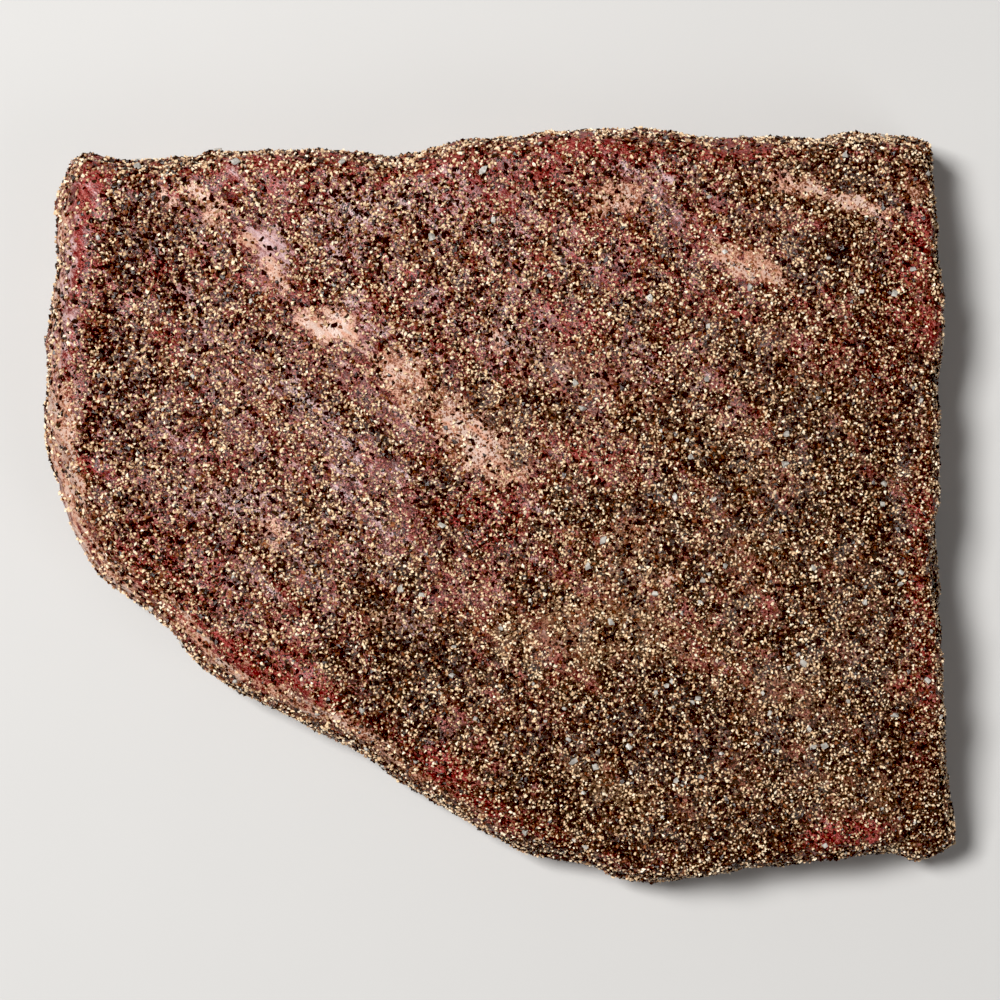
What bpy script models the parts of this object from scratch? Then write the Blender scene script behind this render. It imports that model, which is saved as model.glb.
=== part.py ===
"""A raw beef brisket flat, rubbed with cracked black pepper and coarse salt.

The meat lies flat on its fat side. +X runs along its longer side, +Y across it and +Z up, and the
origin is the middle of its footprint, on the surface that it rests on. The biggest pieces of the rub
are joined to the meat. Sizes are in millimetres, and MM turns them into Blender's metres.
"""

import math
import random

import bmesh
import bpy
import numpy as np
from mathutils import Matrix, Vector, kdtree, noise

MM = 0.001
THICKNESS = 39.0
SWELL_ALLOWANCE = 3.0
FALL_TO_THE_RIGHT = 0.016
BLOCK_HEIGHT = 24.0
BLOCK_VOXEL = 3.5
SURFACE_VOXEL = 6.6
OUTLINE_STEP = 0.6
SHOULDER_BLUR = 26.0

# The share of the thickness at which the side reaches out furthest, and how round its shoulder is.
WAIST = 0.34
SHOULDER_ROUNDNESS = 2.1
TUCK_HEIGHT = 7.0
TUCK_DEPTH = 3.2
TUCK_REACH = 22.0
FOOT_SNAP = 1.6
FLAT_FOOT = 0.25
ZERO_HEIGHT = 1e-7
SHARP_ANGLE = math.radians(40)

LUMP_HEIGHT = 1.5
LUMP_LENGTH = 46.0
FOLD_HEIGHT = 0.8
FOLD_LENGTH = 15.0
GRAIN_TURN = math.radians(-41)
GRAIN_STRETCH = 2.6

PEPPER_COUNT = 168
SALT_COUNT = 38
PEPPER_ACROSS = (2.3, 3.1)
SALT_ACROSS = (2.6, 3.5)
PEPPER_FLATNESS = 0.8
SALT_FLATNESS = 0.6
CORNER_REACH = (0.82, 1.12)
PIECE_STRETCH = (0.85, 1.15)
RUB_SPACING = 11.5
RUB_SINK = 0.12
RUB_KEEP_OFF_RIM = 2.0
RUB_LEAST_HEIGHT = 0.5 * THICKNESS
RUB_LEAST_UPRIGHT = 0.25
TRIES_FOR_EACH_PIECE = 400
SEED = 11

BEEF_RED = (0.205, 0.062, 0.045, 1.0)
BEEF_ROUGHNESS = 0.55

# The outline in plan, clockwise from the upper left corner. Each side has its shoulder, which is how
# far the top surface takes to roll over into that side.
SIDES = (
    ("top", 8.0, (
        (-123.8, 102.8), (-107.7, 101.3), (-85.9, 103.1), (-71.3, 104.0), (-45.1, 103.1), (-29.1, 102.5),
        (-17.5, 104.5), (-5.8, 107.2), (8.7, 108.3), (29.1, 109.8), (43.7, 109.2), (58.2, 108.0),
        (80.4, 107.2), (93.8, 107.5), (99.9, 108.9), (112.1, 108.3), (124.6, 106.6),
    )),
    ("right", 5.0, (
        (126.0, 92.9), (127.5, 74.5), (128.4, 54.2), (127.8, 30.9), (127.0, 7.6), (126.7, -15.7),
        (127.8, -41.9), (128.7, -63.8), (129.9, -81.8), (133.0, -94.9),
    )),
    ("corner flap", 6.0, ((133.4, -99.8), (129.9, -101.9), (123.8, -104.2), (119.4, -104.0))),
    ("bottom", 7.5, (
        (115.3, -102.5), (101.9, -103.1), (88.2, -104.2), (74.3, -105.7), (60.3, -107.5), (44.6, -109.5),
        (34.9, -108.6), (26.2, -105.7), (14.6, -103.4),
    )),
    ("diagonal", 12.5, (
        (4.4, -100.5), (-18.1, -87.7), (-30.0, -80.4), (-40.8, -71.9), (-55.3, -64.1), (-67.6, -58.5),
        (-80.4, -51.8), (-90.9, -43.7), (-99.6, -33.8), (-109.2, -27.1),
    )),
    ("left", 15.0, (
        (-116.6, -22.0), (-122.6, -12.8), (-126.1, -4.1), (-129.0, 6.4), (-132.8, 19.2), (-133.1, 30.9),
        (-132.8, 48.3), (-131.6, 65.8), (-130.2, 80.4), (-128.6, 93.5),
    )),
)

# Swells and hollows of the muscle and fat: centre x and y, half length and half width, turn from +X
# in degrees, and rise.
SWELLS = (
    ("middle of the flat", 10, 0, 95, 62, -20, 3.5),
    ("upper right muscle", 78, 62, 42, 24, -12, 1.6),
    ("fat seam, outer end", -82, 74, 26, 7, -41, 1.5),
    ("fat seam, inner end", -18, 14, 34, 8, -45, 1.7),
    ("trough below the seam", -62, 22, 46, 11, -43, -1.8),
    ("trough above the seam", -18, 56, 40, 12, -32, -1.3),
    ("streak by the upper right edge", 84, 84, 32, 4, -18, 1.3),
    ("hollow under the streak", 76, 72, 26, 7, -20, -1.2),
    ("dip inside the left edge", -113, 46, 46, 8.0, 86, -1.8),
    ("roll of the left edge", -124, 40, 46, 5.5, 88, 1.0),
    ("bank above the diagonal edge", -44, -44, 64, 9, -35, 1.6),
    ("dip in the lower right", 72, -48, 44, 22, 18, -2.0),
    ("thin corner", 126, -101, 15, 13, -28, -13.0),
    ("crease beside the thin corner", 114, -99, 11, 2.6, 28, -3.5),
    ("thin upper left corner", -122, 100, 20, 16, 20, -4.5),
    ("thin lower end", 28, -100, 40, 18, 4, -4.0),
)


def clear_scene():
    for old in list(bpy.data.objects):
        bpy.data.objects.remove(old)


def new_collection(name):
    made = bpy.data.collections.new(name)
    bpy.context.scene.collection.children.link(made)
    return made


def closed_spline(points):
    """Points about OUTLINE_STEP apart on the smooth closed line through the given points."""
    points = np.array(points, float)
    runs = []
    for i in range(len(points)):
        before, start, end, after = (points[(i + k) % len(points)] for k in (-1, 0, 1, 2))
        steps = max(2, round(float(np.linalg.norm(end - start)) / OUTLINE_STEP))
        t = np.linspace(0, 1, steps, endpoint=False)[:, None]
        bend = 2 * before - 5 * start + 4 * end - after
        twist = 3 * (start - end) + after - before
        runs.append(start + 0.5 * (t * (end - before) + t**2 * bend + t**3 * twist))
    return np.concatenate(runs)


def outline_and_shoulders():
    """The outline's points in plan, and the shoulder's width at each, blended from side to side."""
    outline = closed_spline([point for _, _, side in SIDES for point in side])
    corners = kdtree.KDTree(sum(len(side) for _, _, side in SIDES))
    widths = []
    for _, width, side in SIDES:
        for point in side:
            corners.insert((*point, 0), len(widths))
            widths.append(width)
    corners.balance()
    nearest = np.array([widths[corners.find((x, y, 0))[1]] for x, y in outline])
    reach = round(SHOULDER_BLUR / OUTLINE_STEP)
    window = np.hanning(2 * reach + 1)
    wrapped = np.concatenate([nearest[-reach:], nearest, nearest[:reach]])
    return outline, np.convolve(wrapped, window / window.sum(), "valid")


def inward_normals(outline):
    along = np.roll(outline, -1, 0) - np.roll(outline, 1, 0)
    along /= np.linalg.norm(along, axis=1)[:, None]
    return np.stack([along[:, 1], -along[:, 0]], 1)


def swell(x, y, centre_x, centre_y, half_length, half_width, turn, rise):
    """A smooth oval mound, or a hollow where rise is negative."""
    c, s = math.cos(math.radians(turn)), math.sin(math.radians(turn))
    u = ((x - centre_x) * c + (y - centre_y) * s) / half_length
    v = ((y - centre_y) * c - (x - centre_x) * s) / half_width
    return rise * np.exp(-(u**2 + v**2))


def thickness_at(x, y):
    """How thick the meat is over each point of its plan."""
    total = np.full(len(x), THICKNESS - SWELL_ALLOWANCE) - FALL_TO_THE_RIGHT * x
    for _, *shape in SWELLS:
        total += swell(x, y, *shape)
    return total


def folds_at(points):
    """Low lumps, and folds that are drawn out along the grain of the meat."""
    c, s = math.cos(GRAIN_TURN), math.sin(GRAIN_TURN)
    rises = np.empty(len(points))
    for i, (x, y, z) in enumerate(points):
        along, across = x * c + y * s, y * c - x * s
        lump = noise.noise(Vector((x, y, z)) / LUMP_LENGTH)
        fold = noise.noise(Vector((along / GRAIN_STRETCH, across, z)) / FOLD_LENGTH)
        rises[i] = LUMP_HEIGHT * lump + FOLD_HEIGHT * fold
    return rises


def vertex_array(mesh):
    points = np.empty(len(mesh.vertices) * 3, np.float32)
    mesh.vertices.foreach_get("co", points)
    return points.reshape(-1, 3).astype(float) / MM


def set_vertices(mesh, points):
    mesh.vertices.foreach_set("co", (points * MM).astype(np.float32).ravel())
    mesh.update()


def evaluated_mesh(obj):
    graph = bpy.context.evaluated_depsgraph_get()
    return bpy.data.meshes.new_from_object(obj.evaluated_get(graph))


def remeshed(obj, voxel):
    """Gives the object an even mesh of square faces, about one voxel each."""
    modifier = obj.modifiers.new("even mesh", "REMESH")
    modifier.mode = "VOXEL"
    modifier.voxel_size = voxel * MM
    mesh = evaluated_mesh(obj)
    obj.modifiers.clear()
    obj.data = mesh


def outline_block(outline, collection):
    """A flat block of the outline's shape, made from a filled curve."""
    curve = bpy.data.curves.new("outline", "CURVE")
    curve.dimensions = "2D"
    curve.fill_mode = "BOTH"
    curve.extrude = BLOCK_HEIGHT * MM / 2
    line = curve.splines.new("POLY")
    line.points.add(len(outline) - 1)
    for point, (x, y) in zip(line.points, outline, strict=True):
        point.co = (x * MM, y * MM, 0, 1)
    line.use_cyclic_u = True
    guide = bpy.data.objects.new("outline", curve)
    collection.objects.link(guide)
    bpy.context.view_layer.update()
    mesh = evaluated_mesh(guide)
    bpy.data.objects.remove(guide)
    mesh.transform(Matrix.Translation((0, 0, BLOCK_HEIGHT * MM / 2)))
    block = bpy.data.objects.new("brisket", mesh)
    collection.objects.link(block)
    return block


def shape_slab(mesh, outline, shoulders):
    """Turns the block into the slab: rounded shoulders, sides that tuck in below, and the swells."""
    points = vertex_array(mesh)
    normals = inward_normals(outline)
    edge = kdtree.KDTree(len(outline))
    for i, (x, y) in enumerate(outline):
        edge.insert((x, y, 0), i)
    edge.balance()
    found = [edge.find((x, y, 0))[1:] for x, y, _ in points]
    nearest = np.array([index for index, _ in found])
    inside = np.array([distance for _, distance in found])
    share = np.clip(points[:, 2] / BLOCK_HEIGHT, 0, 1)
    t = np.clip(inside / shoulders[nearest], 0, 1)
    rise = (1 - (1 - t) ** SHOULDER_ROUNDNESS) ** (1 / SHOULDER_ROUNDNESS)
    top = thickness_at(points[:, 0], points[:, 1]) * (WAIST + (1 - WAIST) * rise)
    height = share * top
    below = np.clip(1 - height / TUCK_HEIGHT, 0, 1)
    tuck = TUCK_DEPTH * (1 - np.sqrt(1 - below**2)) * np.clip(1 - inside / TUCK_REACH, 0, 1)
    points[:, :2] += normals[nearest] * tuck[:, None]
    points[:, 2] = height
    set_vertices(mesh, points)


def raise_folds(mesh):
    """Pushes the surface out and in along its normals, and leaves the underside flat."""
    points = vertex_array(mesh)
    normals = np.array([tuple(vertex.normal) for vertex in mesh.vertices])
    free = np.clip(points[:, 2] / TUCK_HEIGHT - FLAT_FOOT, 0, 1)
    points += normals * (folds_at(points) * free)[:, None]
    points[points[:, 2] < FOOT_SNAP, 2] = 0
    set_vertices(mesh, points)


def flatten_underside(mesh):
    """Joins the faces of the flat underside into one."""
    work = bmesh.new()
    work.from_mesh(mesh)
    lying = [face for face in work.faces if all(abs(v.co.z) < ZERO_HEIGHT for v in face.verts)]
    inner_edges = {edge for face in lying for edge in face.edges if all(f in lying for f in edge.link_faces)}
    bmesh.ops.dissolve_edges(work, edges=list(inner_edges), use_verts=True)
    work.to_mesh(mesh)
    work.free()


def meat_slab(collection):
    outline, shoulders = outline_and_shoulders()
    slab = outline_block(outline, collection)
    remeshed(slab, BLOCK_VOXEL)
    shape_slab(slab.data, outline, shoulders)
    remeshed(slab, SURFACE_VOXEL)
    raise_folds(slab.data)
    flatten_underside(slab.data)
    return slab


def rub_places(mesh, count, spacing, taken, draw):
    """Places for pieces of the rub: spread over the top and the upper sides, none near another."""
    upright = [face for face in mesh.polygons if face.normal.z > RUB_LEAST_UPRIGHT]
    faces = [face for face in upright if face.center.z > RUB_LEAST_HEIGHT * MM]
    xs = [vertex.co.x for vertex in mesh.vertices]
    ys = [vertex.co.y for vertex in mesh.vertices]
    rim = RUB_KEEP_OFF_RIM * MM
    places = []
    for _ in range(count * TRIES_FOR_EACH_PIECE):
        if len(places) == count:
            break
        face = draw.choice(faces)
        centre = face.center
        inside_x = min(xs) + rim < centre.x < max(xs) - rim
        inside_y = min(ys) + rim < centre.y < max(ys) - rim
        clear = all((centre - other).length > spacing * MM for other in taken)
        if inside_x and inside_y and clear:
            places.append((centre.copy(), face.normal.copy()))
            taken.append(centre.copy())
    return places


def rub_piece(name, place, normal, across, flatness, draw, collection):
    """One cracked piece: a low round with its corners drawn at random, set a little into the meat."""
    work = bmesh.new()
    bmesh.ops.create_icosphere(work, subdivisions=1, radius=across * MM / 2)
    for vertex in work.verts:
        vertex.co *= draw.uniform(*CORNER_REACH)
    mesh = bpy.data.meshes.new(name)
    work.to_mesh(mesh)
    work.free()
    spin = Matrix.Rotation(draw.uniform(0, math.tau), 4, "Z")
    lean = normal.to_track_quat("Z", "Y").to_matrix().to_4x4()
    centre = place - normal * (RUB_SINK * across * MM)
    squash = Matrix.Diagonal((draw.uniform(*PIECE_STRETCH), 1, flatness, 1))
    mesh.transform(Matrix.Translation(centre) @ lean @ spin @ squash)
    collection.objects.link(bpy.data.objects.new(name, mesh))


def add_rub(slab, rub):
    """Makes the biggest pieces of pepper and salt, and joins them to the meat."""
    draw = random.Random(SEED)
    taken = []
    kinds = (
        ("salt", SALT_COUNT, SALT_ACROSS, SALT_FLATNESS),
        ("pepper", PEPPER_COUNT, PEPPER_ACROSS, PEPPER_FLATNESS),
    )
    for kind, count, (small, big), flatness in kinds:
        for i, (place, normal) in enumerate(rub_places(slab.data, count, RUB_SPACING, taken, draw)):
            across = draw.uniform(small, big)
            rub_piece(f"{kind}_{i}", place, normal, across, flatness, draw, rub)
    join = slab.modifiers.new("rub", "BOOLEAN")
    join.operation = "UNION"
    join.operand_type = "COLLECTION"
    join.collection = rub
    join.solver = "MANIFOLD"
    bpy.context.view_layer.update()
    slab.data = evaluated_mesh(slab)
    slab.modifiers.clear()
    for piece in list(rub.objects):
        bpy.data.objects.remove(piece)


def beef():
    material = bpy.data.materials.new("raw beef")
    material.use_nodes = True
    surface = material.node_tree.nodes["Principled BSDF"]
    surface.inputs["Base Color"].default_value = BEEF_RED
    surface.inputs["Roughness"].default_value = BEEF_ROUGHNESS
    surface.inputs["Metallic"].default_value = 0.0
    return material


def centre_on_origin(mesh):
    points = vertex_array(mesh)
    low, high = points.min(0), points.max(0)
    points[:, :2] -= ((low + high) / 2)[:2]
    set_vertices(mesh, points)


def main():
    clear_scene()
    slab = meat_slab(new_collection("beef brisket"))
    add_rub(slab, new_collection("rub"))
    centre_on_origin(slab.data)
    slab.data.materials.clear()
    slab.data.materials.append(beef())
    slab.data.shade_smooth()
    slab.data.set_sharp_from_angle(angle=SHARP_ANGLE)


main()
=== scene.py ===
"""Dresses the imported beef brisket: raw meat with fat seams, cracked black pepper and coarse salt.

The meat is modelled again in fine detail on the outline and swells of the solid that it stands for.
Its zones of fat, fresh lean and silverskin, and how thickly the rub lies on them, are attributes of
its mesh, which the finishes and the scattered rub both read. Lengths here are in millimetres.
"""

import math
import random

import bmesh
import bpy
import numpy as np
from bpy.props import FloatProperty, FloatVectorProperty, IntProperty, PointerProperty
from mathutils import Matrix, Vector, kdtree, noise


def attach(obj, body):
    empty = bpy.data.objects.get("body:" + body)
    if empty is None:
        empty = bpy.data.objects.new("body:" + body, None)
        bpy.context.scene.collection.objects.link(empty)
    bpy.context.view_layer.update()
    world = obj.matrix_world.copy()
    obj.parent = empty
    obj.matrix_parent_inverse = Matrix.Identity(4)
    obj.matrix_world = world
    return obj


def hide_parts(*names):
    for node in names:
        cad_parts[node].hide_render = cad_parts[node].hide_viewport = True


bl_info = {
    "name": "Peppered Beef Brisket",
    "version": (1, 0, 0),
    "blender": (4, 5, 0),
    "location": "3D View > Sidebar > Brisket",
    "description": "Dresses a brisket solid with raw meat, fat seams, cracked pepper and coarse salt",
    "category": "Object",
}

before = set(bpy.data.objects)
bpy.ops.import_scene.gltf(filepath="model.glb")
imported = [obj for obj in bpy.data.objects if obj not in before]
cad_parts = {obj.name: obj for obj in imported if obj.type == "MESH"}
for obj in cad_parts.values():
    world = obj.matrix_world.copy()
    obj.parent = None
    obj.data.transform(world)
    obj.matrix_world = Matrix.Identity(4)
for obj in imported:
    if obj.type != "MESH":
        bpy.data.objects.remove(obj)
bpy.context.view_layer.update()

MM = 0.001
NODE = "brisket"
BODY = "root"

# The photograph's frame, in pixels, and the real length of one of its pixels at the meat.
PHOTO_SIDE = 1000
PIXEL_LENGTH = 0.2912
PHOTO_CENTRE_ROW = 506

# The stage, in metres: the floor's side, and each lamp's place and side.
FLOOR_SIDE = 6.0
SOFTBOX = ((-0.85, 0.45, 2.0), 0.60)
FILL = ((1.5, -1.1, 1.5), 1.2)
NEAREST_SEEN = 0.01
BLACK_LEVEL = (0.020, 0.0205, 0.0205)

# The height at which a pixel has its length, as a share of the thickness.
SCALE_HEIGHT = 0.6

# The form of the slab, as in the solid.
THICKNESS = 39.0
SWELL_ALLOWANCE = 3.0
FALL_TO_THE_RIGHT = 0.016
FLAT_FOOT = 0.25
BLOCK_HEIGHT = 24.0
BLOCK_VOXEL = 2.6
OUTLINE_STEP = 0.6
SHOULDER_BLUR = 26.0
WAIST = 0.34
SHOULDER_ROUNDNESS = 2.1
TUCK_HEIGHT = 7.0
TUCK_DEPTH = 3.2
TUCK_REACH = 22.0
GRAIN_TURN = math.radians(-41)
GRAIN_BEND = 0.6
GRAIN_BEND_AT = -70.0
GRAIN_BEND_REACH = 20.0

# Relief of the meat. The settings hold the heights of the lumps, folds and strands.
LUMP_LENGTH = 46.0
FOLD_LENGTH = 15.0
FOLD_STRETCH = 2.6
STRAND_LENGTH = 4.2
STRAND_STRETCH = 4.5
FINE_LENGTH = 3.1
FINE_HEIGHT = 0.35
DIMPLE_LENGTH = 8.0
DIMPLE_HEIGHT = 0.8
LAYER_LENGTH = 3.4
LAYER_HEIGHT = 1.1
LAYER_FLATNESS = 0.09

# How far the edges of the zones waver, and over what length.
BROAD_WAVER = 4.6
BROAD_WAVE = 9
FINE_WAVER = 2.6
FINE_WAVE = 3.2

# The outline in plan, clockwise from the upper left corner. Each side has its shoulder, which is how
# far the top surface takes to roll over into that side.
SIDES = (
    ("top", 8.0, (
        (-123.8, 102.8), (-107.7, 101.3), (-85.9, 103.1), (-71.3, 104.0), (-45.1, 103.1), (-29.1, 102.5),
        (-17.5, 104.5), (-5.8, 107.2), (8.7, 108.3), (29.1, 109.8), (43.7, 109.2), (58.2, 108.0),
        (80.4, 107.2), (93.8, 107.5), (99.9, 108.9), (112.1, 108.3), (124.6, 106.6),
    )),
    ("right", 5.0, (
        (126.0, 92.9), (127.5, 74.5), (128.4, 54.2), (127.8, 30.9), (127.0, 7.6), (126.7, -15.7),
        (127.8, -41.9), (128.7, -63.8), (129.9, -81.8), (133.0, -94.9),
    )),
    ("corner flap", 6.0, ((133.4, -99.8), (129.9, -101.9), (123.8, -104.2), (119.4, -104.0))),
    ("bottom", 7.5, (
        (115.3, -102.5), (101.9, -103.1), (88.2, -104.2), (74.3, -105.7), (60.3, -107.5), (44.6, -109.5),
        (34.9, -108.6), (26.2, -105.7), (14.6, -103.4),
    )),
    ("diagonal", 12.5, (
        (4.4, -100.5), (-18.1, -87.7), (-30.0, -80.4), (-40.8, -71.9), (-55.3, -64.1), (-67.6, -58.5),
        (-80.4, -51.8), (-90.9, -43.7), (-99.6, -33.8), (-109.2, -27.1),
    )),
    ("left", 15.0, (
        (-116.6, -22.0), (-122.6, -12.8), (-126.1, -4.1), (-129.0, 6.4), (-132.8, 19.2), (-133.1, 30.9),
        (-132.8, 48.3), (-131.6, 65.8), (-130.2, 80.4), (-128.6, 93.5),
    )),
)

# How far inside the outline the fat of the rim lies on each side, how wide it is, and how strong.
RIM_FAT = {
    "top": (1.0, 2.0, 0.25),
    "right": (1.0, 2.0, 0.05),
    "corner flap": (1.0, 2.0, 0.0),
    "bottom": (1.0, 2.0, 0.1),
    "diagonal": (5.8, 3.6, 0.95),
    "left": (3.0, 4.2, 0.9),
}

# Swells and hollows of the muscle and fat: centre x and y, half length and half width, turn from +X
# in degrees, and rise.
SWELLS = (
    ("middle of the flat", 10, 0, 95, 62, -20, 3.5),
    ("upper right muscle", 78, 62, 42, 24, -12, 1.6),
    ("fat seam, outer end", -82, 74, 26, 7, -41, 1.5),
    ("fat seam, inner end", -18, 14, 34, 8, -45, 1.7),
    ("trough below the seam", -62, 22, 46, 11, -43, -1.8),
    ("trough above the seam", -18, 56, 40, 12, -32, -1.3),
    ("streak by the upper right edge", 84, 84, 32, 4, -18, 1.3),
    ("hollow under the streak", 76, 72, 26, 7, -20, -1.2),
    ("dip inside the left edge", -113, 46, 46, 8, 86, -1.8),
    ("roll of the left edge", -124, 40, 46, 5.5, 88, 1),
    ("bank above the diagonal edge", -44, -44, 64, 9, -35, 1.6),
    ("dip in the lower right", 72, -48, 44, 22, 18, -2),
    ("thin corner", 126, -101, 15, 13, -28, -13),
    ("crease beside the thin corner", 114, -99, 11, 2.6, 28, -3.5),
    ("thin upper left corner", -122, 100, 20, 16, 20, -4.5),
    ("thin lower end", 28, -100, 40, 18, 4, -4),
)

# Zones of the top: centre x and y, half length and half width, turn from +X in degrees, strength,
# and the share of the rub that is missing there.
FAT_ZONES = (
    ("seam, along it all", -45, 47, 62, 8, -42, 0.28, 0.03),
    ("seam, outermost streak", -96.5, 91, 5.6, 2.2, -50, 0.7, 0.42),
    ("seam, at the corner", -85, 87.5, 8, 3.2, -42, 0.75, 0.42),
    ("seam, second lobe", -71.5, 77, 4, 3, -30, 0.75, 0.45),
    ("seam, third lobe", -65, 67.5, 4.6, 3, -35, 0.7, 0.36),
    ("seam, bare lobe", -50, 52, 9.6, 4.6, -28, 1, 0.63),
    ("seam, fourth lobe", -27.7, 37.3, 10.5, 6.6, -48, 0.8, 0.36),
    ("seam, long lobe", -8.6, 20, 12, 6.2, -50, 1, 0.60),
    ("seam, tail", 6, 7, 8, 3.6, -35, 0.65, 0.36),
    ("island", 67, 71.8, 7.4, 4, -42, 0.85, 0.55),
    ("island, pink end", 77, 67, 6.2, 4, -30, 0.8, 0.5),
    ("streak", 91.5, 91.8, 5.2, 2.2, -24, 0.85, 0.5),
    ("streak, right half", 102, 87.2, 6, 3.1, -26, 1, 0.66),
    ("streak, faint end", 83, 93, 7, 2.6, -15, 0.7, 0.45),
    ("streak, white end", 111, 84, 4.4, 1.9, -30, 0.7, 0.5),
    ("spot by the upper edge", 34, 89, 9, 4.4, 8, 0.7, 0.42),
    ("spot below it", 25, 84, 5, 3, -30, 0.5, 0.3),
    ("spot right of the seam", -2.3, 48.2, 4.2, 2, -60, 0.7, 0.45),
    ("spot left of the seam", -39.5, 12.6, 3.6, 2, -10, 0.6, 0.45),
    ("lone pink spot", 47.2, -19.5, 3.6, 2.4, -20, 0.8, 0.5),
    ("upper right corner", 118, 92, 3.6, 6.5, 0, 0.5, 0.3),
    ("upper right edge", 112, 78, 3, 5, 20, 0.45, 0.25),
    ("faint spot in the left half", -66, -7.5, 7, 4.4, -30, 0.55, 0.3),
    ("spot in the outer left half", -82, 6, 5, 3, -30, 0.5, 0.3),
    ("left rim, pale", -124, 15, 20, 3.4, 97, 0.9, 0.12),
    ("faint spot in the middle", 5.8, 38.6, 5.2, 3, -50, 0.5, 0.35),
    ("faint spot by the lower left edge", -34, -33, 5, 3, -20, 0.5, 0.35),
)
HAZE_ZONES = (
    ("membrane along the seam", -36, 52, 60, 7, -40, 0.25, 0.03),
    ("silverskin by the seam", -66, 75, 7.4, 4.6, -48, 1, 0.64),
    ("silverskin strip", -89.6, 60, 5.6, 2, -68, 1, 0.7),
    ("silverskin strip, lower", -85.6, 50.5, 5.6, 2, -60, 0.7, 0.42),
    ("silverskin over the bare lobe", -42.6, 56.6, 5.2, 2.6, -10, 0.8, 0.45),
    ("pale left half, upper", -60, 22, 24, 13, -35, 0.15, 0),
    ("pale left half, lower", -46.6, -9.9, 24, 13, -30, 0.35, 0.04),
    ("pale upper middle", -8.7, 82, 28, 11, -8, 0.4, 0.06),
    ("pale upper edge", 40.8, 96, 12, 4.8, -5, 0.7, 0.35),
    ("pale upper left", -45, 84, 14, 9, -20, 0.65, 0.17),
    ("pale lower middle", -23.3, -34.7, 8, 5.4, 0, 0.5, 0.28),
    ("pale centre", 4, 50, 16, 7, -35, 0.45, 0.10),
    ("pale spot in the right half", 60, 36, 6, 3, 20, 0.4, 0.2),
    ("pale, right of the middle", 42, 40, 12, 7, -30, 0.35, 0.08),
    ("pale, between the lobes", -44, 71, 8, 6, -40, 0.6, 0.18),
    ("pale, left half, outer", -73, 0, 18, 7, -25, 0.7, 0.26),
    ("pale, above the fourth lobe", -18, 58, 9, 5, -40, 0.5, 0.14),
    ("pale, right of the fourth lobe", -2, 46, 14, 5, -15, 0.4, 0.12),
    ("pale, under the streak", 67, 84, 10, 5, -15, 0.25, 0.06),
    # The pale film on the left rim, which faces the light, is partly painted light.
    ("pale left rim", -126, 58, 24, 4.4, 88, 0.75, 0.10),
    ("pale left rim, lower", -127, 14, 28, 4.4, 96, 0.75, 0.10),
)
FRESH_ZONES = (
    ("upper left corner", -119, 86, 15, 5, 82, 1, 0.60),
    ("upper edge, long", 27, 104, 18, 4.4, 0, 1, 0.45),
    ("upper left edge", -58, 96, 62, 8, 0, 0.5, 0.08),
    # The band in the fold inside the left rim is painted dark crimson, partly as the painted shade of the
    # fold.
    ("dark band inside the left rim", -109, 50, 40, 7, 88, 0.55, 0),
    ("whole upper half", -10, 72, 100, 34, -4, 0.52, 0),
    ("right, upper edge", 113, 60, 40, 8, 90, 0.5, 0),
    ("upper edge, bright", 65.5, 103.6, 11.5, 3.4, -5, 1, 0.6),
    ("upper middle", 4, 98, 26, 7.5, 4, 0.7, 0.25),
    ("upper middle, below", 0, 84, 18, 5, -10, 0.55, 0.2),
    ("right edge, bright", 124.6, 52.7, 9, 3.4, 90, 1, 0.5),
    ("right edge, upper", 118, 68, 16, 5, 80, 0.6, 0.2),
    ("right edge, long", 121, -30, 56, 6, 90, 0.55, 0.08),
    ("right, upper", 104, 40, 16, 7, -60, 0.35, 0.16),
    ("bare lower right", 98, -94.6, 15, 4.8, 6, 0.8, 0.42),
    ("below the seam", -4, -3, 14, 8, -15, 0.75, 0.2),
    ("left streak, upper", -99, 68.7, 9, 2.4, 85, 0.8, 0.4),
    ("left streak, lower", -93.2, 46.9, 8, 2.4, -60, 0.8, 0.45),
    ("above the diagonal, upper", -83, -38, 13, 5, -38, 1, 0.42),
    ("above the diagonal, middle", -60, -48, 17, 6, -30, 0.9, 0.32),
    ("above the diagonal, lower", -17.5, -74, 7.4, 4.2, -25, 1, 0.45),
    ("above the diagonal, end", -4, -88, 11, 4.2, -33, 0.8, 0.3),
    ("left rim", -124.5, 22, 28, 5.6, 95, 0.6, 0.24),
    ("left rim, lower end", -121.6, -9, 8, 2.6, 115, 0.9, 0.55),
    ("left rim, upper", -123.5, 62, 24, 5.2, 88, 0.5, 0.38),
    ("inside the left rim", -113.6, 10.5, 7.4, 2.8, -20, 0.8, 0.45),
    ("left spot", -85.9, 31.5, 4.4, 2.8, -30, 0.8, 0.4),
    ("lower edge", 35, -104.6, 12, 2.8, 0, 0.8, 0.25),
    ("right of the seam", 26.2, 14.9, 12, 7, -20, 0.6, 0.16),
    ("lower left half", -92, -16, 18, 10, -30, 0.65, 0.2),
    ("middle, lower", 10, -60, 20, 5, -12, 0.4, 0.05),
    ("left half, middle", -78, 14, 16, 4, -40, 0.4, 0.12),
    ("upper edge, middle", 48, 99, 13, 5, 0, 0.6, 0.1),
    ("under the upper middle", -4, 72, 10, 6, 0, 0.6, 0.12),
    ("right of the lower seam", 38, -8, 11, 6, 0, 0.55, 0.12),
    ("above the diagonal, dull", -30, -65, 14, 5, -32, 0.6, 0.05),
    ("lower left edge, dull", 12, -95, 15, 5, -25, 0.6, 0.05),
    ("upper left edge, end", -25, 97, 14, 4, 5, 0.6, 0),
)
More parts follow.
